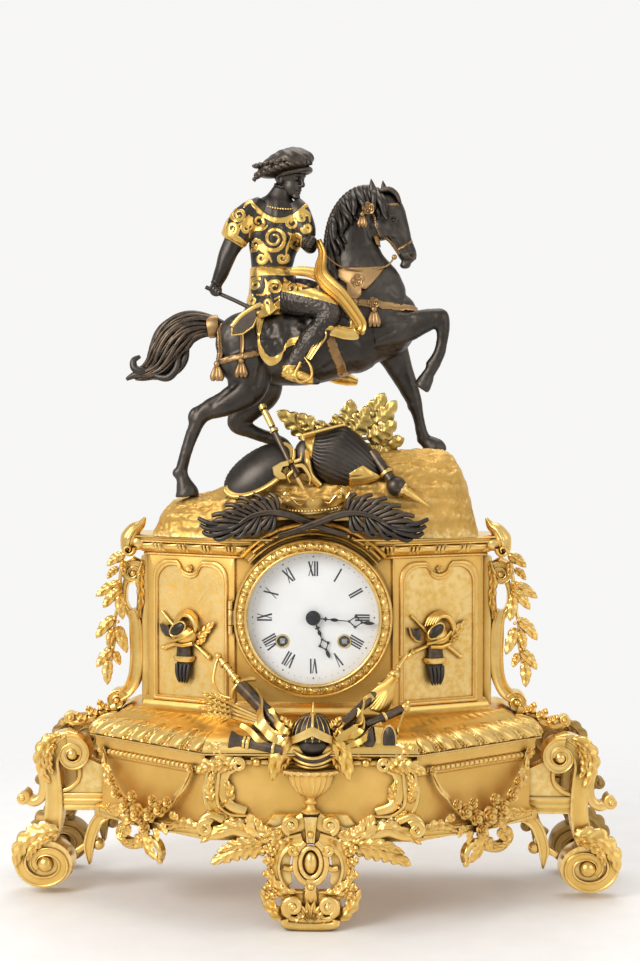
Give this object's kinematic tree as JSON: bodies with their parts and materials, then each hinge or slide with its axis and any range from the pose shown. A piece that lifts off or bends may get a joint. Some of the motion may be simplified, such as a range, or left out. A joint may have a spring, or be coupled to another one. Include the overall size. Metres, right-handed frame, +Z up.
{
  "type": "mantel clock",
  "caption": "Bow-fronted gilt bronze mantel clock on scroll feet, with a dark bronze rider on a rocky mound, a round enamel dial behind a hinged bezel and a striking movement.",
  "frame": {"origin": "middle of the overall box, on the surface the feet stand on", "axes": "+X to the viewer's right along the front, +Y away from the viewer towards the back door, +Z up"},
  "size_m": [0.482, 0.19, 0.5794],
  "materials": {
    "matte_gilt": "matte fire gilding on cast bronze",
    "burnished_gilt": "gilding burnished on the high points",
    "dark_bronze": "dark brown patina, rubbed on the high points",
    "brass": "polished brass",
    "steel": "polished steel",
    "black_steel": "blackened steel, satin",
    "enamel": "glossy white enamel with black numerals",
    "glass": "clear convex glass"
  },
  "bodies": {
    "clock_body": {"base_shell": "matte_gilt", "plinth_moulding": "burnished_gilt", "case_shell": "matte_gilt", "right_case_panel": "matte_gilt", "left_case_panel": "matte_gilt", "cornice": "burnished_gilt", "right_console": "burnished_gilt", "left_console": "burnished_gilt", "right_leaf_drop": "burnished_gilt", "left_leaf_drop": "burnished_gilt", "front_right_foot": "burnished_gilt", "front_left_foot": "burnished_gilt", "rear_right_foot": "burnished_gilt", "rear_left_foot": "burnished_gilt", "centre_foot": "burnished_gilt", "cartouche_frame": "burnished_gilt", "urn": "matte_gilt", "right_garland": "matte_gilt", "left_garland": "matte_gilt", "front_helmet": "dark_bronze", "left_arms": "burnished_gilt", "right_arms": "burnished_gilt", "right_panel_trophy": "dark_bronze", "left_panel_trophy": "dark_bronze", "right_laurel": "dark_bronze", "left_laurel": "dark_bronze", "horse": "dark_bronze", "saddle_cloth": "matte_gilt", "rider": "dark_bronze", "rider_axe": "burnished_gilt", "rock_mound": "matte_gilt", "cuirass": "dark_bronze", "shield": "dark_bronze", "halberd": "burnished_gilt", "oak_spray": "brass", "crown": "burnished_gilt", "dial": "enamel", "front_plate": "brass", "back_plate": "brass", "suspension_cock": "brass", "bell": "brass", "rear_bezel": "brass"},
    "bezel_door": {"bezel": "burnished_gilt", "bezel_glass": "glass"},
    "back_door": {"back_door": "brass"},
    "minute_hand": {"minute_hand": "black_steel"},
    "hour_hand": {"hour_hand": "black_steel"},
    "minute_wheel": {"minute_wheel": "brass"},
    "going_barrel": {"going_barrel": "brass"},
    "going_arbor": {"going_arbor": "steel"},
    "intermediate_wheel": {"intermediate_wheel": "brass"},
    "centre_wheel": {"centre_wheel": "brass"},
    "third_wheel": {"third_wheel": "brass"},
    "escape_wheel": {"escape_wheel": "brass"},
    "anchor": {"anchor": "steel"},
    "pendulum": {"pendulum": "brass"},
    "strike_barrel": {"strike_barrel": "brass"},
    "strike_arbor": {"strike_arbor": "steel"},
    "count_wheel": {"count_wheel": "brass"},
    "hammer": {"hammer": "steel"}
  },
  "joints": [
    {"name": "bezel_hinge", "type": "hinge", "parent": "clock_body", "child": "bezel_door", "pos_m": [-0.0626, -0.0381, 0.223], "axis": [0, 0, -1], "range_deg": [0, 90]},
    {"name": "back_door_hinge", "type": "hinge", "parent": "clock_body", "child": "back_door", "pos_m": [-0.0595, 0.0585, 0.223], "axis": [0, 0, 1], "range_deg": [0, 110]},
    {"name": "minute_hand_turn", "type": "hinge", "parent": "clock_body", "child": "minute_hand", "pos_m": [0, -0.035, 0.223], "axis": [0, 1, 0], "continuous": true},
    {"name": "hour_hand_turn", "type": "hinge", "parent": "clock_body", "child": "hour_hand", "pos_m": [0, -0.035, 0.223], "axis": [0, 1, 0], "continuous": true},
    {"name": "minute_wheel_turn", "type": "hinge", "parent": "clock_body", "child": "minute_wheel", "pos_m": [0.006, -0.028, 0.23339], "axis": [0, 1, 0], "continuous": true},
    {"name": "third_wheel_turn", "type": "hinge", "parent": "clock_body", "child": "third_wheel", "pos_m": [0, -0.01, 0.2398], "axis": [0, 1, 0], "continuous": true},
    {"name": "escape_wheel_turn", "type": "hinge", "parent": "clock_body", "child": "escape_wheel", "pos_m": [0, -0.01, 0.25436], "axis": [0, 1, 0], "continuous": true},
    {"name": "centre_wheel_turn", "type": "hinge", "parent": "clock_body", "child": "centre_wheel", "pos_m": [0, -0.01, 0.223], "axis": [0, 1, 0], "continuous": true},
    {"name": "intermediate_wheel_turn", "type": "hinge", "parent": "clock_body", "child": "intermediate_wheel", "pos_m": [0.01654, -0.01, 0.228], "axis": [0, 1, 0], "continuous": true},
    {"name": "going_barrel_turn", "type": "hinge", "parent": "clock_body", "child": "going_barrel", "pos_m": [0.0234, -0.01, 0.205], "axis": [0, 1, 0], "continuous": true},
    {"name": "going_arbor_wind", "type": "hinge", "parent": "clock_body", "child": "going_arbor", "pos_m": [0.0234, -0.01, 0.205], "axis": [0, 1, 0], "continuous": true},
    {"name": "strike_barrel_turn", "type": "hinge", "parent": "clock_body", "child": "strike_barrel", "pos_m": [-0.0234, -0.01, 0.205], "axis": [0, 1, 0], "continuous": true},
    {"name": "strike_arbor_wind", "type": "hinge", "parent": "clock_body", "child": "strike_arbor", "pos_m": [-0.0234, -0.01, 0.205], "axis": [0, 1, 0], "continuous": true},
    {"name": "count_wheel_turn", "type": "hinge", "parent": "clock_body", "child": "count_wheel", "pos_m": [-0.01654, -0.01, 0.228], "axis": [0, 1, 0], "continuous": true},
    {"name": "pendulum_swing", "type": "hinge", "parent": "clock_body", "child": "pendulum", "pos_m": [0, 0.0175, 0.267], "axis": [0, 1, 0], "range_deg": [-4, 4]},
    {"name": "anchor_rock", "type": "hinge", "parent": "clock_body", "child": "anchor", "pos_m": [0, 0, 0.267], "axis": [0, 1, 0], "range_deg": [-4, 4]},
    {"name": "hammer_lift", "type": "hinge", "parent": "clock_body", "child": "hammer", "pos_m": [-0.022, 0.02, 0.253], "axis": [0, 1, 0], "range_deg": [0, 12]}
  ],
  "couplings": [
    {"joint": "hour_hand_turn", "follows": "minute_hand_turn", "ratio": 0.083333},
    {"joint": "minute_wheel_turn", "follows": "minute_hand_turn", "ratio": -0.33333},
    {"joint": "escape_wheel_turn", "follows": "third_wheel_turn", "ratio": -6},
    {"joint": "centre_wheel_turn", "follows": "third_wheel_turn", "ratio": -0.16667},
    {"joint": "intermediate_wheel_turn", "follows": "third_wheel_turn", "ratio": 0.033333},
    {"joint": "going_barrel_turn", "follows": "third_wheel_turn", "ratio": -0.0066667},
    {"joint": "count_wheel_turn", "follows": "strike_barrel_turn", "ratio": -5},
    {"joint": "anchor_rock", "follows": "pendulum_swing", "ratio": 1}
  ]
}
